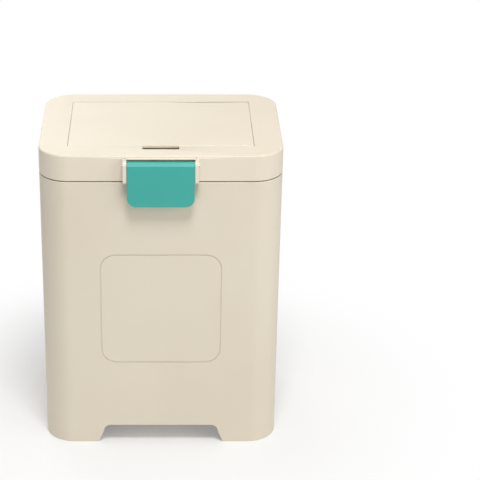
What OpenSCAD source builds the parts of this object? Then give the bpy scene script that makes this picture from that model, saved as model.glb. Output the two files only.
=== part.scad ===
// Litter disposal pail: a drafted casing on arched feet, a lift-out bucket with a liner ring
// and two folding bails, and a hinged lid that holds a roll of bags under a hatch, a charcoal
// filter behind a grille, and a swinging front latch.
// The front faces -Y, the origin is the middle of the footprint on the floor.

/* [Casing] */
// Room between each end of the roll of bags and the outside of the casing at the seam
end_room = 52; // [49:1:64]
// Depth of the casing and lid at the seam
case_d = 222; // [214:2:250]
// Height from the floor to the top of the lid
total_h = 400; // [360:5:460]
// Radius of the upright corners in plan
corner_r = 38; // [30:1:46]
// Wall of the casing
case_wall = 3; // [2.4:0.2:4]
// How much narrower each side is at the floor than at the seam
draft = 0.5; // [0:0.5:3]
// Height of the arches between the feet, which is also the underside of the casing floor
arch_h = 25; // [18:1:32]
// Width of each arch at the floor
arch_w = 162; // [130:2:180]
// How far an arch leg leans in over the height of the arch
arch_lean = 7; // [3:1:12]
// Rounding at the top corners of an arch
arch_r = 9; // [5:1:12]
// Thickness of the casing floor
floor_t = 3; // [2:0.5:5]
// Rounding of the lid's upper edge
edge_r = 2; // [1:0.5:2.5]
// Rounding of the lower edge
foot_r = 1; // [0.6:0.1:1.4]

/* [Rim] */
// Height of the rim frame inside the top of the casing
collar_h = 10; // [8:1:14]
// Distance from the outside of the casing to the inner edge of the rim frame
collar_t = 9; // [8.4:0.2:10]
// Width of the ledges that carry the rim frame and the floor
ledge_w = 2; // [1.2:0.2:2.4]
// Thickness of the lip
lip_t = 2; // [1.4:0.2:2.2]
// Height of the lip above the rim frame
lip_h = 5; // [3:0.5:6]
// Width of the rubber rim seal
seal_w = 3.2; // [2:0.2:3.2]
// Height of the rubber rim seal above the rim frame
seal_h = 6; // [4:0.5:7]

/* [Front panel] */
// Side of the square panel on the front
panel_w = 152; // [100:2:180]
// Corner radius of the panel
panel_r = 20; // [8:1:30]
// Width of the groove round the panel
panel_groove = 1.6; // [1:0.1:3]
// Depth of the groove round the panel
panel_depth = 0.9; // [0.4:0.1:1.2]
// Height of the middle of the panel
panel_z = 193; // [150:1:220]

/* [Vents] */
// Width of one paw-shaped vent
paw_w = 34; // [24:1:38]
// Distance between the two columns of vents
vent_pitch_y = 39; // [38:1:46]
// Distance between the two rows of vents
vent_pitch_z = 50; // [46:1:60]
// How far the rear column sits below the front column
vent_stagger = 24; // [0:1:26]
// Height of the upper front vent
vent_z = 142; // [130:1:160]
// Place of the front column behind the middle of the side
vent_y = 3; // [-20:1:10]

/* [Bucket] */
// Gap between the casing collar and the bucket
bucket_gap = 1.5; // [1:0.1:2.5]
// Wall of the bucket
bucket_wall = 2.2; // [1.6:0.2:3]
// Distance from the casing rim down to the bucket rim
bucket_drop = 9.5; // [9.5:0.5:14]
// Depth of the wide upper part of the bucket
step_depth = 82; // [60:1:110]
// How far the bucket steps in below that
step_in = 6; // [3:0.5:8]
// Height of the liner ring on the bucket rim
ring_h = 5; // [4:0.5:5.5]
// Width of the liner ring
ring_w = 6; // [5:0.5:8]
// Height of the ring's skirt inside the bucket
ring_skirt = 12; // [8:1:16]

/* [Bails] */
// Thickness of the bail
bail_d = 4.4; // [3.6:0.2:4.6]
// Distance between the legs of a bail
bail_len = 94; // [70:2:110]
// Reach of a bail from its pivot
bail_reach = 22; // [18:1:23]
// Diameter of a bail's pivot ends
bail_pin_d = 3.6; // [3:0.2:3.8]

/* [Lid] */
// Height of the lid's side
lid_h = 33; // [32:1:38]
// Gap between lid and casing
seam_gap = 1.5; // [1:0.1:2]
// Wall of the lid's sides
lid_wall = 2.5; // [2:0.1:2.6]
// Thickness of the lid's top
lid_top = 3; // [2.4:0.2:3.4]
// Distance from the lid's top down to the liner panel
liner_drop = 8; // [7:0.5:8]
// Thickness of the liner panel and its walls
liner_t = 2; // [1.6:0.1:2.2]
// Gap between the liner panel and the lid's sides
liner_gap = 0.5; // [0.3:0.1:1]

/* [Hatch] */
// How far the hatch reaches past each end of the roll of bags
hatch_over = 16; // [14:1:20]
// Depth of the hatch, front to back
hatch_d = 158; // [154:1:164]
// Distance from the lid's front to the hatch
hatch_front = 34; // [32:1:36]
// Gap round the hatch
hatch_gap = 0.6; // [0.4:0.1:0.8]
// Thickness of the hatch
hatch_t = 3; // [2.5:0.1:3.2]
// Radius of the rolled rear edge that the hatch turns on
hatch_roll_r = 4; // [3.4:0.2:4.2]
// Width of the finger notch in front of the hatch
notch_w = 45; // [30:1:60]
// Depth of the notch from front to back
notch_d = 11; // [8:1:13]
// Number of stiffening ribs under the front of the hatch
rib_count = 6; // [3:1:8]
// Diameter of the hatch's pivot pins
hatch_pin_d = 3; // [2.4:0.2:3.4]

/* [Filter] */
// Width of the grille
grille_w = 208; // [190:1:210]
// Depth of the grille, front to back
grille_d = 54; // [46:1:55]
// Thickness of the grille
grille_t = 3.5; // [2.5:0.1:4]
// Width of the grille's outer frame
grille_frame = 5; // [4:0.5:6]
// Width of the grille's bars
grille_bar = 2.4; // [1.8:0.1:3]
// Thickness of the charcoal filter
filter_t = 6; // [5:0.5:6.5]
// Width of the finger slot in the filter
filter_slot_w = 36; // [24:1:44]
// Depth of that slot, front to back
filter_slot_d = 6; // [4:0.5:8]
// Distance from the lid's top down to the shelf over the filter
shelf_drop = 10; // [9.5:0.5:11]

/* [Bag roll] */
// Diameter of the roll of bags
roll_d = 52; // [44:1:53]
// Length of the roll of bags
roll_len = 196; // [180:1:198]
// Diameter of the roll's core
core_d = 18; // [14:1:22]
// Wall of the hubs that plug into the core
hub_wall = 2.5; // [2:0.1:3]
// Length of the plug at each hub
hub_plug = 14; // [10:1:18]
// Gap between the roll and its trough
trough_gap = 4; // [3:0.5:5]
// Distance from the lid's top down to the middle of the roll
roll_drop = 34; // [33:0.5:38]
// Place of the roll behind the middle of the lid
roll_y = 24; // [20:1:26]
// Diameter of the hub journals in the trough ends
journal_d = 26; // [20:1:30]
// Diameter of the flange at each end of the roll
flange_d = 47; // [40:1:50]

/* [Latch] */
// Width of the latch
latch_w = 82; // [60:1:100]
// Height of the latch from its barrel to its tip
latch_h = 57; // [54:1:60]
// Thickness of the latch plate
latch_t = 3; // [2.4:0.2:3.4]
// Corner radius at the latch's lower corners
latch_r = 11; // [6:1:16]
// Width of each ear on the lid
ear_w = 4.6; // [4:0.2:6]
// How far the ears stand out of the lid
ear_reach = 12; // [11:0.5:13]
// Diameter of the latch pin
latch_pin_d = 4; // [3:0.2:4.4]
// Thickness of the strip that joins the ears
bridge_t = 1.2; // [0.8:0.1:1.6]
// Distance from the lid's top down to that strip
bridge_drop = 2.2; // [2:0.1:2.6]
// Width of the keeper on the casing
keeper_w = 72; // [50:1:78]
// Height of the keeper's wedge
keeper_h = 10; // [8:0.5:12]
// Thickness of the plate above the keeper's wedge
keeper_t = 1.2; // [0.8:0.1:1.6]
// How far the keeper stands out of the casing
keeper_reach = 5.5; // [4:0.5:5.5]

/* [Lid hinge] */
// Distance of each hinge from the middle
hinge_x = 85; // [60:1:100]
// Distance of the hinge axis behind the back face
hinge_back = 6.6; // [6.4:0.1:7.4]
// Radius of the hinge knuckles
knuckle_r = 6; // [5:0.2:6]
// Length of the casing's middle knuckle
knuckle_mid = 24; // [18:1:30]
// Length of each lid knuckle beside it
knuckle_end = 10; // [6:1:14]
// Gap between knuckles
knuckle_gap = 0.4; // [0.3:0.1:0.8]
// Diameter of the hinge pins
hinge_pin_d = 4; // [3:0.2:5]

/* [Fasteners] */
// Distance of the liner screws from the lid's left and right sides
screw_inset_x = 24; // [20:1:28]
// Distance of the liner screws from the lid's front and back
screw_inset_y = 30; // [26:1:34]
// Diameter of the liner screws
screw_d = 3; // [2.5:0.1:3.5]
// Diameter of their heads
screw_head_d = 6.4; // [5.5:0.1:7]
// Height of their heads
screw_head_h = 1.8; // [1.2:0.1:2.2]

/* [Fits] */
// Clearance between two pieces that only sit together
seat_gap = 0.3; // [0.2:0.05:0.5]
// Radial clearance of a pin that turns in a bore
run_gap = 0.06; // [0.02:0.01:0.1]

/* [Hidden] */
$fn = 96;

cream = "#e6dcc6";
teal = "#4bb3a8";
charcoal = "#5c5c5c";
black = "#202020";

case_top = total_h - lid_h - seam_gap;
collar_low = case_top - collar_h;
lip_inset = case_wall + seat_gap;
lid_bottom = total_h - lid_h;
case_w = roll_len + 2 * end_room;
half_w = case_w / 2;
half_d = case_d / 2;
cavity_floor = arch_h + floor_t;

// Bucket, ring and bails
bucket_inset = collar_t + bucket_gap;
bucket_top = case_top - bucket_drop;
ring_top = bucket_top + ring_h;
bail_x = half_w - bucket_inset - ring_w / 2;
lug_r = bail_pin_d / 2 + 2;
bail_z = ring_top + bail_d / 2 + seat_gap;
lug_len = 6;

// Lid, hatch and tray
panel_top = total_h - liner_drop;
shelf_top = total_h - shelf_drop;
hatch_y0 = -half_d + hatch_front;
hatch_y1 = hatch_y0 + hatch_d;
hatch_axis_y = hatch_y1 - hatch_roll_r;
hatch_axis_z = total_h - hatch_roll_r;
hatch_w = roll_len + 2 * hatch_over;
tray_w = hatch_w + 2 * hatch_gap;
tray_d = hatch_d + 2 * hatch_gap;
roll_z = total_h - roll_drop;
trough_r = roll_d / 2 + trough_gap;
hub_flange_t = 2;
trough_in = roll_len + 2 * hub_flange_t + 4 * seat_gap;
trough_out = trough_in + 2 * liner_t;
journal_slot = journal_d - 2;
filter_top = shelf_top - liner_t - seat_gap;
grille_top = filter_top - filter_t - seat_gap;
grille_y = hatch_y0 + grille_d / 2 + liner_t + 1;

// Latch
latch_axis_y = -half_d - ear_reach / 2 - 0.5;
latch_axis_z = total_h - 10;
latch_barrel_r = ear_reach / 2 - 1;
latch_front = -half_d - ear_reach - 0.6;
latch_tip_z = latch_axis_z + latch_barrel_r - latch_h;
hook_t = 4.5;
keeper_z = latch_tip_z + hook_t + 0.8;

// Hinge
hinge_y = half_d + hinge_back;
hinge_z = case_top + seam_gap / 2;
hinge_span = knuckle_mid + 2 * knuckle_gap + 2 * knuckle_end;

function reversed(list) = [for (i = [len(list) - 1:-1:0]) list[i]];

// Points of a quarter round of radius r that turns from angle a to angle b about (x, y)
function round_points(x, y, r, a, b, steps = 5) =
    [for (i = [0:steps]) let (t = a + (b - a) * i / steps) [x + r * cos(t), y + r * sin(t)]];

// Points of an ellipse turned by a degrees
function ellipse_points(x, y, rx, ry, a, steps = 20) = [
    for (i = [0:steps - 1]) let (t = i * 360 / steps, u = rx * cos(t), v = ry * sin(t))
        [x + u * cos(a) - v * sin(a), y + u * sin(a) + v * cos(a)]
];

// A block with rounded upright corners. Its side follows profile, a list of [distance from the
// corner centre, height] from the bottom up.
module block(w, d, r, profile) {
    low = profile[0][1];
    high = profile[len(profile) - 1][1];
    for (sx = [-1, 1], sy = [-1, 1])
        translate([sx * (w / 2 - r), sy * (d / 2 - r), 0])
            rotate_extrude()
                polygon(concat([[0, low]], profile, [[0, high]]));
    slab(w / 2 - r, d - 2 * r, profile);
    rotate(90)
        slab(d / 2 - r, w - 2 * r, profile);
}

module slab(reach, length, profile) {
    rotate([90, 0, 0])
        linear_extrude(length, center = true)
            polygon(concat(
                [for (p = profile) [reach + p[0], p[1]]],
                [for (p = reversed(profile)) [-reach - p[0], p[1]]]));
}

// The same block with a straight side, set in from the casing's outline by inset
module plug(inset, low, high) {
    r = corner_r - inset;
    block(case_w - 2 * inset, case_d - 2 * inset, r, [[r, low], [r, high]]);
}

module rod(d, length) {
    rotate([0, 90, 0])
        cylinder(d = d, h = length, center = true);
}

module square_with_round_corners(w, h, r) {
    square([w - 2 * r, h], center = true);
    square([w, h - 2 * r], center = true);
    for (sx = [-1, 1], sy = [-1, 1])
        translate([sx * (w / 2 - r), sy * (h / 2 - r)])
            circle(r);
}

// Casing

module casing_wall() {
    inside = corner_r - case_wall;
    difference() {
        block(case_w, case_d, corner_r, concat(
            [[corner_r - draft - foot_r, 0], [corner_r - draft - 0.3 * foot_r, 0.3 * foot_r]],
            [[corner_r - draft, foot_r], [corner_r, case_top - collar_h]],
            [[corner_r, case_top - 0.5], [corner_r - 0.5, case_top]]));
        block(case_w, case_d, corner_r, [
            [inside - draft - ledge_w, -1], [inside - draft - ledge_w, arch_h],
            [inside - draft, arch_h], [inside, collar_low - 3 * ledge_w],
            [inside - ledge_w, collar_low - ledge_w], [inside - ledge_w, collar_low],
            [inside, collar_low], [inside, case_top + 1]
        ]);
    }
}

// The arch between two feet, cut right through from front to back
module arches() {
    top = arch_w / 2 - arch_lean;
    rotate([90, 0, 0])
        linear_extrude(case_d + 2, center = true)
            polygon(concat(
                [[-arch_w / 2, -1], [arch_w / 2, -1]],
                round_points(top - arch_r, arch_h - arch_r, arch_r, 0, 90),
                round_points(-top + arch_r, arch_h - arch_r, arch_r, 90, 180)));
}

module front_panel() {
    lean = draft / (case_top - collar_h);
    translate([0, -half_d + panel_depth + lean * (case_top - collar_h - panel_z), panel_z])
        rotate([90 + atan(lean), 0, 0])
            linear_extrude(5)
                difference() {
                    square_with_round_corners(panel_w, panel_w, panel_r);
                    square_with_round_corners(panel_w - 2 * panel_groove, panel_w - 2 * panel_groove,
                                              panel_r - panel_groove);
                }
}

module paw() {
    s = paw_w / 34;
    pad = [for (t = [0:18:342]) (7.4 + 1.3 * cos(3 * (t - 90))) * s * [cos(t), sin(t)]];
    translate([0, -4 * s])
        polygon(pad);
    for (side = [-1, 1]) {
        polygon(ellipse_points(side * 5.6 * s, 12 * s, 3.8 * s, 5.2 * s, side * -8));
        polygon(ellipse_points(side * 13.2 * s, 5 * s, 3.6 * s, 5 * s, side * -28));
    }
}

module vents() {
    for (row = [0, 1], column = [0, 1])
        translate([half_w - corner_r, vent_y + column * vent_pitch_y,
                   vent_z - row * vent_pitch_z - column * vent_stagger])
            rotate([90, 0, 90])
                linear_extrude(corner_r + 2)
                    paw();
}

// The middle knuckle of each hinge, with the web that carries it on the back wall
module casing_knuckles() {
    for (side = [-1, 1])
        translate([side * hinge_x, 0, 0])
            difference() {
                union() {
                    translate([0, hinge_y, hinge_z])
                        rod(2 * knuckle_r, knuckle_mid);
                    rotate([90, 0, 90])
                        linear_extrude(knuckle_mid, center = true)
                            polygon([
                                [half_d - case_wall, case_top], [hinge_y, case_top],
                                [hinge_y + knuckle_r, hinge_z - 1], [half_d - case_wall, hinge_z - 3.4 * knuckle_r]
                            ]);
                }
                translate([0, hinge_y, hinge_z])
                    rod(hinge_pin_d + 2 * run_gap, knuckle_mid + 2);
            }
}

module outer_casing() {
    color(cream)
        union() {
            difference() {
                casing_wall();
                arches();
                front_panel();
                vents();
            }
            casing_knuckles();
        }
}

// The plate that the bucket stands on, laid on the casing's lower ledge
module casing_floor() {
    inset = draft + case_wall + seat_gap;
    color(cream)
        plug(inset, arch_h, cavity_floor);
}

// The frame round the casing's mouth, with the lip that locates the lid
module rim_frame() {
    color(cream)
        difference() {
            union() {
                plug(lip_inset, collar_low, case_top);
                plug(lip_inset, case_top - 1, case_top + lip_h);
            }
            plug(collar_t, collar_low - 1, case_top + 1);
            plug(lip_inset + lip_t, case_top, case_top + lip_h + 1);
        }
}

module rim_seal() {
    color(black)
        difference() {
            plug(lip_inset + lip_t, case_top, case_top + seal_h);
            plug(lip_inset + lip_t + seal_w, case_top - 1, case_top + seal_h + 1);
        }
}

// The wedge that the latch hooks under, on a plate that is flush with the casing's front
module latch_keeper() {
    color("#efe9dc")
        translate([0, -half_d, 0])
            rotate([90, 0, 90])
                linear_extrude(keeper_w, center = true)
                    polygon([
                        [0, keeper_z], [-keeper_reach, keeper_z],
                        [-keeper_reach, keeper_z + 0.25 * keeper_h], [-keeper_t, keeper_z + keeper_h],
                        [-keeper_t, case_top - keeper_t], [0, case_top - keeper_t]
                    ]);
}

// Bucket

module inner_bucket() {
    r = corner_r - bucket_inset;
    w = case_w - 2 * bucket_inset;
    d = case_d - 2 * bucket_inset;
    step_z = bucket_top - step_depth;
    color(charcoal)
        difference() {
            block(w, d, r, [
                [r - step_in - 4, cavity_floor], [r - step_in - 2, cavity_floor + 2],
                [r - step_in, step_z - step_in], [r, step_z], [r, bucket_top]
            ]);
            block(w, d, r, [
                [r - step_in - 5, cavity_floor + bucket_wall],
                [r - step_in - bucket_wall, step_z - step_in + bucket_wall / 2],
                [r - bucket_wall, step_z + bucket_wall / 2], [r - bucket_wall, bucket_top + 1]
            ]);
        }
}

// The frame that holds the bag's mouth on the bucket, with lugs for the bails
module liner_ring() {
    skirt_inset = bucket_inset + bucket_wall + seat_gap;
    skirt_t = 1.6;
    color(black)
        union() {
            difference() {
                union() {
                    plug(bucket_inset, bucket_top, ring_top);
                    plug(skirt_inset, bucket_top - ring_skirt, ring_top - 1);
                }
                plug(bucket_inset + ring_w, bucket_top - 1, ring_top + 1);
                plug(skirt_inset + skirt_t, bucket_top - ring_skirt - 1, bucket_top);
            }
            for (sx = [-1, 1], sy = [-1, 1])
                translate([sx * bail_x, sy * (bail_len / 2 + bail_d / 2 + seat_gap + lug_len / 2), 0])
                    difference() {
                        union() {
                            translate([0, 0, bail_z])
                                rotate([90, 0, 0])
                                    cylinder(r = lug_r, h = lug_len, center = true);
                            translate([-lug_r, -lug_len / 2, ring_top - 1])
                                cube([2 * lug_r, lug_len, bail_z - ring_top + 1]);
                        }
                        translate([0, 0, bail_z])
                            rotate([90, 0, 0])
                                cylinder(d = bail_pin_d + 2 * run_gap, h = lug_len + 2, center = true);
                    }
        }
}

// A bail that lies flat over the bucket, from its pivots at x = 0 towards -X
module bail() {
    leg_y = bail_len / 2;
    bend = 2 * bail_d;
    for (side = [-1, 1]) {
        translate([0, side * (leg_y + lug_len / 2 + seat_gap), 0])
            rotate([90, 0, 0])
                cylinder(d = bail_pin_d, h = lug_len + bail_d, center = true);
        translate([0, side * leg_y, 0])
            sphere(d = bail_d);
        translate([-(bail_reach - bend) / 2, side * leg_y, 0])
            rod(bail_d, bail_reach - bend);
        translate([-bail_reach + bend, side * (leg_y - bend), 0])
            rotate(side > 0 ? 90 : 180)
                rotate_extrude(angle = 90)
                    translate([bend, 0])
                        circle(d = bail_d);
    }
    translate([-bail_reach, 0, 0])
        rotate([90, 0, 0])
            cylinder(d = bail_d, h = 2 * (leg_y - bend), center = true);
}

module bail_right() {
    color(black)
        translate([bail_x, 0, bail_z])
            bail();
}

module bail_left() {
    color(black)
        translate([-bail_x, 0, bail_z])
            rotate(180)
                bail();
}

// Lid

module hinge_pins() {
    color("silver")
        for (side = [-1, 1])
            translate([side * hinge_x, hinge_y, hinge_z])
                rod(hinge_pin_d, hinge_span);
}

module lid_knuckles() {
    for (side = [-1, 1], end = [-1, 1])
        translate([side * hinge_x + end * (knuckle_mid / 2 + knuckle_gap + knuckle_end / 2), 0, 0])
            difference() {
                union() {
                    translate([0, hinge_y, hinge_z])
                        rod(2 * knuckle_r, knuckle_end);
                    rotate([90, 0, 90])
                        linear_extrude(knuckle_end, center = true)
                            polygon([
                                [half_d - 1, lid_bottom], [hinge_y, lid_bottom],
                                [hinge_y + knuckle_r, hinge_z + 1], [half_d - 1, hinge_z + 3 * knuckle_r]
                            ]);
                }
                translate([0, hinge_y, hinge_z])
                    rod(hinge_pin_d + 2 * run_gap, knuckle_end + 2);
            }
}

// The two ears that carry the latch pin
module latch_ears() {
    for (side = [-1, 1])
        translate([side * (latch_w / 2 + 0.4 + ear_w / 2), 0, 0])
            difference() {
                rotate([90, 0, 90])
                    linear_extrude(ear_w, center = true)
                        polygon(concat(
                            [[-half_d + 1, lid_bottom + 1], [-half_d + 1, total_h - 4]],
                            round_points(-half_d - ear_reach + 6, total_h - 10, 6, 90, 180),
                            round_points(-half_d - ear_reach + 4, lid_bottom + 4, 4, 180, 270),
                            [[-half_d, lid_bottom]]));
                translate([0, latch_axis_y, latch_axis_z])
                    rod(latch_pin_d + 2 * run_gap, ear_w + 2);
            }
}

// The strip that joins the ears over the latch
module latch_bridge() {
    translate([-latch_w / 2 - 1, -half_d - 0.4 * ear_reach, total_h - bridge_drop - bridge_t])
        cube([latch_w + 2, 0.4 * ear_reach + 1, bridge_t]);
}

module hatch_opening(low, high) {
    translate([-tray_w / 2, hatch_y0 - hatch_gap, low])
        cube([tray_w, tray_d, high - low]);
}

// The pocket in front of the hatch, open towards the hatch's edge
module finger_notch(grow, floor_z) {
    translate([-notch_w / 2 - grow, hatch_y0 - hatch_gap - notch_d - grow, floor_z])
        cube([notch_w + 2 * grow, notch_d + 2 * grow, total_h - floor_z]);
}

function screw_spots() = [
    for (sx = [-1, 1], sy = [-1, 1]) [sx * (half_w - screw_inset_x), sy * (half_d - screw_inset_y)]
];

module lid_shell() {
    notch_floor = total_h - liner_drop - 1;
    color(cream)
        difference() {
            union() {
                difference() {
                    block(case_w, case_d, corner_r, concat(
                        [[corner_r - 0.5, lid_bottom], [corner_r, lid_bottom + 0.5]],
                        round_points(corner_r - edge_r, total_h - edge_r, edge_r, 0, 90)));
                    plug(lid_wall, lid_bottom - 1, total_h - lid_top);
                    hatch_opening(total_h - lid_top - 1, total_h + 1);
                }
                intersection() {
                    finger_notch(1.6, notch_floor);
                    plug(lid_wall - 0.5, notch_floor, total_h - 0.5);
                }
                for (spot = screw_spots())
                    translate([spot[0], spot[1], panel_top])
                        cylinder(d = screw_d + 5, h = liner_drop - 1);
                lid_knuckles();
                latch_ears();
                latch_bridge();
                hatch_lugs();
            }
            translate([0, 0, 1.6])
                finger_notch(0, notch_floor);
            hatch_opening(total_h - lid_top - hatch_t, total_h + 1);
            for (spot = screw_spots())
                translate([spot[0], spot[1], panel_top - 1])
                    cylinder(d = screw_d, h = liner_drop - 0.5);
            for (side = [-1, 1])
                translate([side * (tray_w / 2 + 3), hatch_axis_y, hatch_axis_z])
                    rod(hatch_pin_d + 2 * run_gap, 10);
        }
}

// Blocks under the lid's top that hold the outer ends of the hatch pins
module hatch_lugs() {
    for (side = [-1, 1])
        translate([side * (tray_w / 2 + 3), hatch_axis_y, hatch_axis_z - 0.4])
            cube([6, 9, 2 * hatch_roll_r - 0.9], center = true);
}

// The liner: a panel under the lid's top, the shelf and roll trough that hang in the hatch
// opening, and the walls of the filter pocket
module lid_liner() {
    front = roll_y - trough_r;
    back = roll_y + trough_r;
    color(cream)
        difference() {
            union() {
                plug(lid_wall + liner_gap, panel_top - liner_t, panel_top);
                translate([-tray_w / 2 - liner_t, hatch_y0 - hatch_gap - liner_t, shelf_top - liner_t])
                    cube([tray_w + 2 * liner_t, tray_d + 2 * liner_t, panel_top - shelf_top + liner_t]);
                translate([-trough_out / 2, front - liner_t, roll_z])
                    cube([trough_out, 2 * (trough_r + liner_t), shelf_top - roll_z]);
                translate([0, roll_y, roll_z])
                    rod(2 * (trough_r + liner_t), trough_out);
                filter_walls();
            }
            translate([-tray_w / 2, hatch_y0 - hatch_gap, shelf_top])
                cube([tray_w, tray_d, liner_drop + 2]);
            translate([-trough_in / 2, front, roll_z])
                cube([trough_in, 2 * trough_r, total_h]);
            translate([0, roll_y, roll_z])
                rod(2 * trough_r, trough_in);
            translate([0, roll_y, roll_z])
                rod(journal_d + 2 * run_gap, trough_out + 2);
            translate([-trough_out / 2 - 3, roll_y - journal_slot / 2, roll_z])
                cube([trough_out + 6, journal_slot, shelf_top - roll_z + 1]);
            finger_notch(2, panel_top - liner_t - 1);
            for (spot = screw_spots())
                translate([spot[0], spot[1], panel_top - liner_t - 1])
                    cylinder(d = screw_d + 0.4, h = liner_t + 2);
            for (side = [-1, 1])
                translate([side * (tray_w / 2 + 3), hatch_axis_y, panel_top])
                    cube([7, 10, 2 * hatch_roll_r], center = true);
        }
}

module filter_walls() {
    outer_w = grille_w + 2 * (seat_gap + liner_t);
    outer_d = grille_d + 2 * (seat_gap + liner_t);
    low = grille_top - grille_t + 1;
    translate([-outer_w / 2, grille_y - outer_d / 2, low])
        difference() {
            cube([outer_w, outer_d, panel_top - liner_t - low + 1]);
            translate([liner_t, liner_t, -1])
                cube([outer_w - 2 * liner_t, outer_d - 2 * liner_t, shelf_top - liner_t - low + 1]);
        }
}

module liner_screws() {
    color("silver")
        for (spot = screw_spots())
            translate([spot[0], spot[1], panel_top - liner_t]) {
                translate([0, 0, -screw_head_h])
                    difference() {
                        cylinder(d = screw_head_d, h = screw_head_h);
                        for (turn = [0, 90])
                            rotate(turn)
                                translate([-1.6, -0.35, -1])
                                    cube([3.2, 0.7, 1.9]);
                    }
                cylinder(d = screw_d - 0.1, h = liner_t + liner_drop - 4);
            }
}

// Filter

// The grille that clips in over the filter: a frame, four posts, two rails and a centre pad
module filter_grille() {
    open_w = grille_w - 2 * grille_frame;
    open_d = grille_d - 2 * grille_frame;
    columns = 5;
    rows = 3;
    cell_w = open_w / columns;
    cell_d = open_d / rows;
    color("#e9e5da")
        translate([0, grille_y, grille_top - grille_t])
            union() {
                difference() {
                    linear_extrude(grille_t)
                        square([grille_w, grille_d], center = true);
                    translate([0, 0, -1])
                        linear_extrude(grille_t + 2)
                            square([open_w, open_d], center = true);
                }
                for (i = [1:columns - 1])
                    translate([-open_w / 2 + i * cell_w - grille_bar / 2, -open_d / 2 - 1, 0.6])
                        cube([grille_bar, open_d + 2, grille_t - 0.6]);
                for (i = [1:rows - 1])
                    translate([-open_w / 2 - 1, -open_d / 2 + i * cell_d - grille_bar / 2, 0.6])
                        cube([open_w + 2, grille_bar, grille_t - 0.6]);
                difference() {
                    translate([-cell_d / 2 - 2, -cell_d / 2 - 1, 0])
                        cube([cell_d + 4, cell_d + 2, grille_t]);
                    translate([0, 0, -11])
                        sphere(r = 12);
                }
            }
}

module charcoal_filter() {
    color("#3a3a3c")
        translate([0, grille_y, filter_top - filter_t])
            linear_extrude(filter_t)
                difference() {
                    square_with_round_corners(grille_w - 4, grille_d - 6, 3);
                    square([filter_slot_w, filter_slot_d], center = true);
                }
}

// Hatch

module hatch() {
    skirt = 2;
    rib_d = 2;
    rib_h = 2.6;
    rib_field = hatch_d * 0.36;
    tab_reach = 3;
    plate_d = hatch_axis_y - hatch_y0;
    low = total_h - hatch_t;
    color(cream)
        difference() {
            union() {
                difference() {
                    translate([-hatch_w / 2, hatch_y0, low])
                        cube([hatch_w, plate_d, hatch_t]);
                    for (side = [-1, 1])
                        translate([side * hatch_w / 2, hatch_y0, low - 1])
                            cylinder(r = 2, h = hatch_t + 2, $fn = 4);
                }
                translate([0, hatch_axis_y, hatch_axis_z])
                    rod(2 * hatch_roll_r, hatch_w);
                for (side = [-1, 1])
                    translate([side * (hatch_w / 2 - 6) - skirt / 2, hatch_y0 + 6, low - rib_h])
                        cube([skirt, plate_d - 18, rib_h + 1]);
                for (i = [0:rib_count - 1])
                    translate([-hatch_w / 2 + 6, hatch_y0 + 6 + i * rib_field / (rib_count - 1), low - rib_h])
                        cube([hatch_w - 12, rib_d, rib_h + 1]);
                translate([-notch_w / 2 + 0.6, hatch_y0 - tab_reach, total_h - 2])
                    cube([notch_w - 1.2, tab_reach + 2, 2.8]);
            }
            for (side = [-1, 1])
                translate([side * hatch_w / 2, hatch_axis_y, hatch_axis_z])
                    rod(hatch_pin_d + 2 * run_gap, 16);
        }
}

module hatch_pins() {
    color("silver")
        for (side = [-1, 1])
            translate([side * (tray_w / 2 - 1), hatch_axis_y, hatch_axis_z])
                rod(hatch_pin_d, 12);
}

// Bag roll

module bag_roll() {
    color(teal)
        translate([0, roll_y, roll_z])
            difference() {
                rod(roll_d, roll_len);
                rod(core_d, roll_len + 2);
            }
}

module roll_core() {
    bore = core_d - 2 * hub_wall;
    color(black)
        translate([0, roll_y, roll_z])
            difference() {
                rod(core_d, roll_len);
                rod(bore, roll_len + 2);
            }
}

// A hub: a plug in the core, a flange against the roll and a journal in the trough's end wall
module roll_hub() {
    start = roll_len / 2;
    journal_end = trough_out / 2 + 2;
    translate([start + hub_flange_t / 2, 0, 0])
        rod(flange_d, hub_flange_t);
    translate([start - hub_plug / 2, 0, 0])
        rod(core_d - 2 * hub_wall, hub_plug);
    difference() {
        translate([(start + journal_end) / 2, 0, 0])
            rod(journal_d, journal_end - start);
        translate([journal_end, 0, 0])
            rod(journal_d - 2 * hub_wall, 2 * hub_flange_t);
    }
}

module roll_hub_right() {
    color(black)
        translate([0, roll_y, roll_z])
            roll_hub();
}

module roll_hub_left() {
    color(black)
        translate([0, roll_y, roll_z])
            rotate(180)
                roll_hub();
}

// Latch

// The latch's plate seen from the front, with its round lower corners
module latch_outline() {
    top = latch_axis_z;
    polygon(concat(
        [[latch_w / 2, top], [-latch_w / 2, top]],
        round_points(-latch_w / 2 + latch_r, latch_tip_z + latch_r, latch_r, 180, 270, 8),
        round_points(latch_w / 2 - latch_r, latch_tip_z + latch_r, latch_r, 270, 360, 8)));
}

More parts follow.
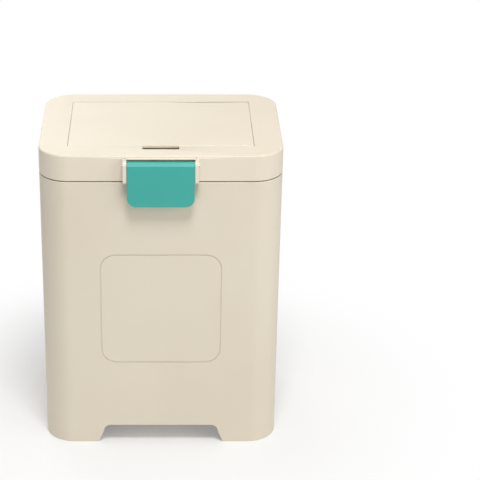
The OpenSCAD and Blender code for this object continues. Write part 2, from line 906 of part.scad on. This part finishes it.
module latch() {
    color(teal)
        difference() {
            union() {
                translate([0, latch_axis_y, latch_axis_z])
                    rod(2 * latch_barrel_r, latch_w);
                translate([0, latch_front + latch_t, 0])
                    rotate([90, 0, 0])
                        linear_extrude(latch_t)
                            latch_outline();
                translate([-latch_w / 2, latch_front, latch_axis_z - 1])
                    cube([latch_w, latch_axis_y - latch_front, 2]);
                translate([0, latch_axis_y, latch_axis_z])
                    rotate([90, 0, 90])
                        linear_extrude(latch_w, center = true)
                            polygon([
                                [0, latch_barrel_r], [-2.4, latch_barrel_r - 0.5],
                                [latch_front - latch_axis_y, 1], [latch_front - latch_axis_y, -latch_barrel_r],
                                [latch_front - latch_axis_y + latch_t, -latch_barrel_r], [0, -latch_barrel_r]
                            ]);
                translate([-keeper_w / 2 + 6, latch_front + 1, latch_tip_z + 0.4])
                    cube([keeper_w - 12, -half_d - 2.4 - latch_front - 1, hook_t]);
            }
            translate([0, latch_axis_y, latch_axis_z])
                rod(latch_pin_d + 2 * run_gap, latch_w + 2);
        }
}

module latch_pin() {
    color("silver")
        translate([0, latch_axis_y, latch_axis_z])
            rod(latch_pin_d, latch_w + 2 * (0.4 + ear_w) + 2);
}

outer_casing();
casing_floor();
rim_frame();
rim_seal();
latch_keeper();
inner_bucket();
liner_ring();
bail_left();
bail_right();
hinge_pins();
lid_shell();
lid_liner();
liner_screws();
filter_grille();
charcoal_filter();
hatch();
hatch_pins();
bag_roll();
roll_core();
roll_hub_left();
roll_hub_right();
latch();
latch_pin();
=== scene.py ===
import math

import bmesh
import bpy
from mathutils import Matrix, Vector


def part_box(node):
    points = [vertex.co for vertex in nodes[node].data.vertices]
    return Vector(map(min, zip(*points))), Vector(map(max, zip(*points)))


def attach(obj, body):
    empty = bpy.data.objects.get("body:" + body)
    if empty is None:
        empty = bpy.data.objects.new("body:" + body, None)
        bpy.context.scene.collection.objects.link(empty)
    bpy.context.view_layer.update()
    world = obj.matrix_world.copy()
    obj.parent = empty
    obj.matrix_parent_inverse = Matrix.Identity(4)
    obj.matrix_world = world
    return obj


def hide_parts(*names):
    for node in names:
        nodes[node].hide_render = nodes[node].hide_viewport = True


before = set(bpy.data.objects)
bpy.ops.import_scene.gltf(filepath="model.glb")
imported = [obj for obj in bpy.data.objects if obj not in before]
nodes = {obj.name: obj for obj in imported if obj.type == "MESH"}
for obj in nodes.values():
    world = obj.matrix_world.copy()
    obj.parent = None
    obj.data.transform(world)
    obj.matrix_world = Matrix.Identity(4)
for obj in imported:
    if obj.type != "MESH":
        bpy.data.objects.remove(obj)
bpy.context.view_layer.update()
print("frame loaded:", len(nodes), "nodes")

mm = 0.001


def deselectAll():
    if bpy.context.object and bpy.context.object.mode != "OBJECT":
        bpy.ops.object.mode_set(mode="OBJECT")
    bpy.ops.object.select_all(action="DESELECT")


def pick(obj):
    deselectAll()
    obj.select_set(True)
    bpy.context.view_layer.objects.active = obj


def startEdit(obj, mode="FACE"):
    pick(obj)
    bpy.ops.object.mode_set(mode="EDIT")
    bpy.ops.mesh.select_mode(type=mode)
    bpy.ops.mesh.select_all(action="DESELECT")


def selectFaces(obj, test):
    mesh = bmesh.from_edit_mesh(obj.data)
    for face in mesh.faces:
        face.select_set(bool(test(face)))
    mesh.select_flush(True)
    bmesh.update_edit_mesh(obj.data)


def endEdit(obj):
    bpy.ops.object.mode_set(mode="OBJECT")
    pick(obj)


def settle(obj):
    # the place goes into the mesh, and the object sits at the origin
    pick(obj)
    bpy.ops.object.transform_apply(location=True, rotation=True, scale=True)


def applyModifier(obj, kind, **settings):
    pick(obj)
    modifier = obj.modifiers.new(kind.title(), kind)
    for name, value in settings.items():
        setattr(modifier, name, value)
    bpy.ops.object.modifier_apply(modifier=modifier.name)


def smooth(obj, degrees):
    pick(obj)
    bpy.ops.object.shade_smooth_by_angle(angle=math.radians(degrees))


# What every moulded piece has in common: points closer than mergeGap become one,
# faces within flatAngle become one, and edges sharper than bevelAngle are rounded
moulding = dict(mergeGap=0.2 * mm, flatAngle=0.4, bevelAngle=28, smoothAngle=40, flatWeight=100)


def softCopy(nodeName, pieceName, body, finish, bevel, segments):
    # a moulded piece: the same shape as the solid, clean and with rounded edges,
    # which stay sharp where bevel is 0
    source = nodes[nodeName]
    piece = source.copy()
    piece.data = source.data.copy()
    piece.name = pieceName
    for key in list(piece.keys()):
        if key.startswith("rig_"):
            del piece[key]
    piece.parent = None
    bpy.context.scene.collection.objects.link(piece)
    startEdit(piece, "VERT")
    bpy.ops.mesh.select_all(action="SELECT")
    bpy.ops.mesh.remove_doubles(threshold=moulding["mergeGap"])
    bpy.ops.mesh.dissolve_limited(angle_limit=math.radians(moulding["flatAngle"]))
    # faces of many sides are cut up here, because the bevel would fill them badly
    selectFaces(piece, lambda face: len(face.verts) > 4)
    bpy.ops.mesh.quads_convert_to_tris(quad_method="BEAUTY", ngon_method="BEAUTY")
    endEdit(piece)
    if bevel:
        applyModifier(piece, "BEVEL", width=bevel, segments=segments, limit_method="ANGLE",
                      angle_limit=math.radians(moulding["bevelAngle"]),
                      use_clamp_overlap=True, miter_outer="MITER_ARC")
    smooth(piece, moulding["smoothAngle"])
    # the broad faces stay flat, and only the rounded edges turn the light
    applyModifier(piece, "WEIGHTED_NORMAL", mode="FACE_AREA_WITH_ANGLE",
                  weight=moulding["flatWeight"], keep_sharp=True)
    dress(piece, finish)
    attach(piece, body)
    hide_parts(nodeName)


def dress(obj, finish):
    obj.data.materials.clear()
    obj.data.materials.append(finish)


class Wire:
    # a value or a colour on its way through a material

    def __init__(self, finish, socket):
        self.finish, self.socket = finish, socket

    def maths(self, operation, *others):
        return self.finish.add("ShaderNodeMath", dict(operation=operation), [self, *others])

    def __add__(self, other): return self.maths("ADD", other)
    def __radd__(self, other): return self.maths("ADD", other)
    def __mul__(self, other): return self.maths("MULTIPLY", other)
    def __rmul__(self, other): return self.maths("MULTIPLY", other)
    def __sub__(self, other): return self.maths("SUBTRACT", other)
    def __truediv__(self, other): return self.maths("DIVIDE", other)
    def __pow__(self, other): return self.maths("POWER", other)

    def __rsub__(self, other):
        return self.finish.add("ShaderNodeMath", dict(operation="SUBTRACT"), [other, self])

    def clamped(self):
        return self.finish.add("ShaderNodeClamp", {}, [self])

    def between(self, low, high, start=0.0, end=1.0):
        # start below low, end above high, and a soft rise from one to the other
        return self.finish.add("ShaderNodeMapRange", dict(clamp=True, interpolation_type="SMOOTHSTEP"),
                               [self, low, high, start, end])


class Finish:

    def __init__(self, name):
        self.material = bpy.data.materials.new(name)
        self.material.use_nodes = True
        self.tree = self.material.node_tree
        self.shader = self.tree.nodes["Principled BSDF"]
        self.place = self.add("ShaderNodeTexCoord", {}, [], "Object")

    def add(self, kind, settings=None, inputs=(), output=0):
        node = self.tree.nodes.new(kind)
        for name, value in (settings or {}).items():
            setattr(node, name, value)
        pairs = inputs.items() if isinstance(inputs, dict) else enumerate(inputs)
        for name, value in pairs:
            self.feed(node.inputs[name], value)
        return Wire(self, node.outputs[output])

    def feed(self, socket, value):
        if isinstance(value, Wire):
            self.tree.links.new(value.socket, socket)
        elif value is not None:
            socket.default_value = value

    def noise(self, scale, detail=3.0, roughness=0.5, stretch=None):
        place = self.stretched(stretch) if stretch else self.place
        return self.add("ShaderNodeTexNoise", {}, {"Vector": place, "Scale": scale,
                                                   "Detail": detail, "Roughness": roughness})

    def stretched(self, scale):
        return self.add("ShaderNodeMapping", {}, {"Vector": self.place, "Scale": scale})

    def axes(self):
        split = self.tree.nodes.new("ShaderNodeSeparateXYZ")
        self.feed(split.inputs[0], self.place)
        return [Wire(self, output) for output in split.outputs]

    def blend(self, amount, first, second):
        # the Mix node has a set of sockets for each kind of data: 6, 7 and 2 are its colours
        return self.add("ShaderNodeMix", dict(data_type="RGBA"), {0: amount, 6: first, 7: second}, 2)

    def bump(self, height, distance, strength=1.0, under=None):
        return self.add("ShaderNodeBump", {}, {"Height": height, "Distance": distance,
                                               "Strength": strength, "Normal": under})

    def set(self, **sockets):
        for name, value in sockets.items():
            self.feed(self.shader.inputs[name.replace("_", " ")], value)
        return self.material


def colour(red, green, blue):
    # an sRGB colour, as it is read from a screen, made linear
    def linear(v):
        v = v / 255
        return v / 12.92 if v <= 0.04045 else ((v + 0.055) / 1.055) ** 2.4
    return (linear(red), linear(green), linear(blue), 1.0)


# Scales are in waves per metre, and amounts are shares of the second colour
plastic = dict(driftScale=6, driftAmount=0.55, flowScale=14, flowAmount=0.2, flowStretch=(1, 1, 0.25),
               grainScale=900, grainDepth=0.03 * mm, waveScale=22, waveDepth=0.25 * mm,
               polishScale=40, polishRange=0.12, specular=0.35)


def moulded(name, main, shade, rough, grainDepth=plastic["grainDepth"]):
    # injection moulded plastic: spark-eroded grain, slow drifts of tone, faint flow lines
    f = Finish(name)
    drift = f.noise(plastic["driftScale"], 2, 0.45).between(0.35, 0.7)
    flow = f.noise(plastic["flowScale"], 2, 0.5, plastic["flowStretch"]).between(0.4, 0.75)
    tone = f.blend(drift * plastic["driftAmount"] + flow * plastic["flowAmount"], main, shade)
    fine = f.noise(plastic["grainScale"], 2, 0.6)
    wave = f.noise(plastic["waveScale"], 2, 0.4)
    surface = f.bump(wave, plastic["waveDepth"], 0.25, f.bump(fine, grainDepth, 0.6))
    polish = f.noise(plastic["polishScale"], 2, 0.5) - 0.5
    return f.set(Base_Color=tone, Roughness=polish * plastic["polishRange"] + rough,
                 Normal=surface, Specular_IOR_Level=plastic["specular"])


turned = dict(lineScale=260, lineStretch=(0.08, 1, 1), lineDepth=0.03 * mm, rough=0.22, roughRange=0.25,
              dark=colour(150, 150, 152), bright=colour(205, 205, 208))


def steel(name):
    # fine bright lines along X, which is the way the pins lie
    f = Finish(name)
    lines = f.noise(turned["lineScale"], 3, 0.6, turned["lineStretch"])
    return f.set(Base_Color=f.blend(lines, turned["dark"], turned["bright"]), Metallic=1.0,
                 Roughness=lines * turned["roughRange"] + turned["rough"],
                 Normal=f.bump(lines, turned["lineDepth"], 0.5))


gum = dict(patchScale=25, grainScale=700, grainDepth=0.06 * mm, rough=0.62, roughRange=0.2,
           dark=colour(30, 30, 31), worn=colour(46, 45, 45))


def rubber(name):
    f = Finish(name)
    fine = f.noise(gum["grainScale"], 3, 0.6)
    patches = f.noise(gum["patchScale"]).between(0.3, 0.7)
    return f.set(Base_Color=f.blend(patches, gum["dark"], gum["worn"]),
                 Roughness=fine * gum["roughRange"] + gum["rough"],
                 Normal=f.bump(fine, gum["grainDepth"], 0.7))


felt = dict(grainScale=520, grainGap=1.6, fleeceScale=900, fleeceStretch=(1, 0.3, 1), depth=0.5 * mm,
            rough=0.9, roughRange=0.3, fleece=colour(30, 30, 32), grain=colour(74, 74, 78))


def carbon(name):
    # charcoal felt: grains held in black fleece
    f = Finish(name)
    cells = f.add("ShaderNodeTexVoronoi", dict(feature="F1"),
                  {"Vector": f.place, "Scale": felt["grainScale"]})
    fleece = f.noise(felt["fleeceScale"], 4, 0.7, felt["fleeceStretch"])
    grains = (1 - cells * felt["grainGap"]).clamped()
    return f.set(Base_Color=f.blend(grains, felt["fleece"], felt["grain"]),
                 Roughness=felt["rough"] - grains * felt["roughRange"],
                 Normal=f.bump(grains * 0.7 + fleece * 0.3, felt["depth"], 0.9))


# Lengths are the distance in which a wave turns by one radian, and the rest are swings in radians
filmWaves = dict(crest=24 * mm, ripple=9 * mm, winding=0.55 * mm, sway=1.1, drift=2.6, rippleSway=1.6)
filmColours = dict(teal=colour(34, 158, 146), light=colour(48, 176, 163),
                   deep=colour(22, 134, 124), pale=colour(168, 194, 202))


def film(name, axisY, axisZ):
    # thin bag film wound on its core: pale waves on teal, and the windings' fine edges
    f = Finish(name)
    x, y, z = f.axes()
    turn = (y - axisY).maths("ARCTAN2", z - axisZ)
    away = (((y - axisY) ** 2.0) + ((z - axisZ) ** 2.0)) ** 0.5
    sway = (turn * 2.0).maths("SINE") * filmWaves["sway"] + f.noise(9, 2, 0.5) * filmWaves["drift"]
    wave = ((x / filmWaves["crest"]) + sway).maths("SINE")
    ripple = ((x / filmWaves["ripple"]) + sway * filmWaves["rippleSway"]).maths("SINE")
    pale = wave.between(0.66, 0.74)
    crest = wave.between(0.4, 0.44) * (1 - wave.between(0.48, 0.52))
    deep = ripple.between(0.1, 0.3) * (1 - pale)
    teal = f.blend(f.noise(9, 2).between(0.35, 0.7), filmColours["teal"], filmColours["light"])
    tone = f.blend(deep * 0.75, teal, filmColours["deep"])
    tone = f.blend((pale * 0.85 + crest * 0.4).clamped(), tone, filmColours["pale"])
    rings = (away / filmWaves["winding"]).maths("SINE")
    wrinkle = f.noise(60, 3, 0.55, (0.25, 1, 1))
    surface = f.bump(wrinkle, 0.7 * mm, 0.45, f.bump(rings, 0.12 * mm, 0.5))
    return f.set(Base_Color=tone, Roughness=wrinkle * 0.2 + 0.2, Normal=surface, Coat_Weight=0.25)


finishes = dict(
    casing=moulded("casing plastic", colour(226, 216, 197), colour(221, 210, 190), 0.46),
    lid=moulded("lid plastic", colour(232, 222, 203), colour(226, 215, 195), 0.44),
    latch=moulded("latch plastic", colour(66, 172, 161), colour(60, 166, 155), 0.5, 0.015 * mm),
    keeper=moulded("keeper plastic", colour(238, 234, 224), colour(230, 225, 214), 0.4),
    bucket=moulded("bucket plastic", colour(92, 92, 91), colour(80, 80, 79), 0.42),
    ring=moulded("ring plastic", colour(34, 34, 34), colour(26, 26, 26), 0.36),
    grille=moulded("grille plastic", colour(236, 231, 220), colour(228, 222, 209), 0.4),
    seal=rubber("seal rubber"),
    steel=steel("turned steel"),
    filter=carbon("charcoal felt"),
)
print("finishes made:", len(finishes))

# the solids that keep their own shape and get a better finish
keptAs = dict(
    rim_seal="seal", bail_left="ring", bail_right="ring",
    hinge_pins="steel", liner_screws="steel", charcoal_filter="filter", hatch_pins="steel",
    roll_core="ring", roll_hub_left="ring", roll_hub_right="ring", latch_pin="steel",
    casing_floor="casing",
)
for nodeName, finishName in keptAs.items():
    dress(nodes[nodeName], finishes[finishName])

# the solids that a moulded piece stands for, each with the piece's name, body, slot and finish,
# its bevel's width and the segments in it
mouldedAs = dict(
    outer_casing=("casing", "casing", "casing_cream", "casing", 0.4 * mm, 2),
    rim_frame=("rim", "casing", "casing_cream", "casing", 0.4 * mm, 2),
    latch_keeper=("keeper", "casing", "keeper_white", "keeper", 0.5 * mm, 2),
    inner_bucket=("bucket_shell", "bucket", "bucket_grey", "bucket", 0.5 * mm, 2),
    liner_ring=("bag_frame", "bucket", "ring_black", "ring", 0.25 * mm, 2),
    lid_shell=("lid", "lid", "lid_cream", "lid", 0, 2),
    lid_liner=("liner", "lid", "lid_cream", "lid", 0.4 * mm, 2),
    filter_grille=("grille", "lid", "grille_white", "grille", 0.4 * mm, 2),
    hatch=("hatch_door", "hatch", "lid_cream", "lid", 0, 2),
    latch=("latch_plate", "latch", "latch_teal", "latch", 0.8 * mm, 3),
)
for nodeName, (pieceName, body, slot, finishName, bevel, segments) in mouldedAs.items():
    softCopy(nodeName, pieceName, body, finishes[finishName], bevel, segments)
print("moulded pieces made:", len(mouldedAs))


# The bag roll: wound film, with the free end of the last bag lying on it
roll = dict(turns=6, step=0.35 * mm, segments=96, tail=28, smoothAngle=35,
            windingDip=0.5 * mm, slope=0.55, flat=0.43)  # slope and flat are shares of a turn's width


def makeRoll():
    low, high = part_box("bag_roll")
    coreLow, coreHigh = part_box("roll_core")
    middle = (low + high) / 2
    length = high.x - low.x
    radius = (high.z - low.z) / 2
    coreRadius = (coreHigh.z - coreLow.z) / 2
    deselectAll()
    bpy.ops.mesh.primitive_cylinder_add(vertices=roll["segments"], radius=radius - roll["step"],
                                        depth=length, location=middle, rotation=(0, math.pi / 2, 0))
    piece = bpy.context.object
    piece.name = "film_roll"
    settle(piece)
    startEdit(piece)
    # the ends are wound layers: rings that step in and out by turns
    width = (radius - roll["step"] - coreRadius) / roll["turns"]
    for side in (-1, 1):
        selectFaces(piece, lambda face: face.normal.x * side > 0.9)
        for ring in range(roll["turns"]):
            dip = roll["windingDip"] if ring % 2 else -roll["windingDip"]
            bpy.ops.mesh.inset(thickness=width * roll["slope"])
            bpy.ops.transform.translate(value=(side * dip, 0, 0))
            bpy.ops.mesh.inset(thickness=width * roll["flat"])
    # the last bag's end stands a step above the one beneath it
    tailAngle = math.radians(roll["tail"])
    fullTurn = 2 * math.pi
    mesh = bmesh.from_edit_mesh(piece.data)
    for vertex in mesh.verts:
        y, z = vertex.co.y - middle.y, vertex.co.z - middle.z
        away = math.hypot(y, z)
        if away > radius - 2 * roll["step"]:
            share = ((math.atan2(z, y) - tailAngle) % fullTurn) / fullTurn
            grow = (away + share * roll["step"]) / away
            vertex.co.y, vertex.co.z = middle.y + y * grow, middle.z + z * grow
    bmesh.update_edit_mesh(piece.data)
    endEdit(piece)
    smooth(piece, roll["smoothAngle"])
    dress(piece, film("bag film", middle.y, middle.z))
    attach(piece, "roll")
    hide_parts("bag_roll")


makeRoll()
print("bag roll made")

# The floor, the lamps and the camera
stage = dict(floorSize=14.0, floorShade=(0.86, 0.86, 0.86, 1), floorRough=0.75, floorSpecular=0.2,
             sky=0.42, nearGlow=0.22, shadeFrom=0.15, whiteFrom=0.45)
white = (1, 1, 1, 1)
# each lamp: place, side of its square, watts
lamps = {
    "key lamp": ((0.15, -1.05, 2.5), 0.7, 38.5),
    "right lamp": ((1.7, -1.1, 1.1), 1.0, 9.0),
    "rear lamp": ((-0.8, 1.9, 0.9), 1.4, 12.0),
}
shot = dict(elevation=25.354, distance=2233.5 * mm, lens=127.53, sensor=36, farEnd=50,
            shiftX=0.1649, shiftY=0.0555, lookAt=Vector((0, 0, 200 * mm)))


def makeFloor():
    deselectAll()
    bpy.ops.mesh.primitive_plane_add(size=stage["floorSize"])
    floor = bpy.context.object
    floor.name = "floor"
    f = Finish("pale floor")
    output = next(node for node in f.tree.nodes if node.type == "OUTPUT_MATERIAL")
    f.set(Base_Color=stage["floorShade"], Roughness=stage["floorRough"],
          Specular_IOR_Level=stage["floorSpecular"])
    glow = f.add("ShaderNodeEmission", {}, {"Color": white, "Strength": 1.0})
    path = f.tree.nodes.new("ShaderNodeLightPath")
    # near the pail the floor keeps its shadows, and further off it is white
    x, y, _ = f.axes()
    away = ((x * x) + (y * y)) ** 0.5
    share = away.between(stage["shadeFrom"], stage["whiteFrom"], stage["nearGlow"], 1.0)
    seen = Wire(f, path.outputs["Is Camera Ray"]) * share
    mixed = f.add("ShaderNodeMixShader", {}, [seen, Wire(f, f.shader.outputs[0]), glow])
    f.tree.links.new(mixed.socket, output.inputs["Surface"])
    dress(floor, f.material)


def makeLamp(name, place, size, power):
    deselectAll()
    bpy.ops.object.light_add(type="AREA", location=place)
    lamp = bpy.context.object
    lamp.name = name
    lamp.data.size = size
    lamp.data.energy = power
    lamp.rotation_euler = (shot["lookAt"] - Vector(place)).to_track_quat("-Z", "Y").to_euler()


def makeSky():
    world = bpy.data.worlds.new("studio")
    bpy.context.scene.world = world
    world.use_nodes = True
    tree = world.node_tree
    background = tree.nodes["Background"]
    path = tree.nodes.new("ShaderNodeLightPath")
    level = tree.nodes.new("ShaderNodeMapRange")
    level.inputs["To Min"].default_value = stage["sky"]
    level.inputs["To Max"].default_value = 1.0
    tree.links.new(path.outputs["Is Camera Ray"], level.inputs["Value"])
    tree.links.new(level.outputs[0], background.inputs["Strength"])
    background.inputs["Color"].default_value = white


def makeCamera():
    deselectAll()
    tilt = math.radians(shot["elevation"])
    place = shot["lookAt"] + shot["distance"] * Vector((0, -math.cos(tilt), math.sin(tilt)))
    bpy.ops.object.camera_add(location=place, rotation=(math.pi / 2 - tilt, 0, 0))
    camera = bpy.context.object
    camera.data.lens = shot["lens"]
    camera.data.sensor_width = shot["sensor"]
    camera.data.shift_x, camera.data.shift_y = shot["shiftX"], shot["shiftY"]
    camera.data.clip_end = shot["farEnd"]
    bpy.context.scene.camera = camera


makeFloor()
makeSky()
for name, (place, size, power) in lamps.items():
    makeLamp(name, place, size, power)
makeCamera()
bpy.context.scene.view_settings.view_transform = "Standard"
print("stage made")
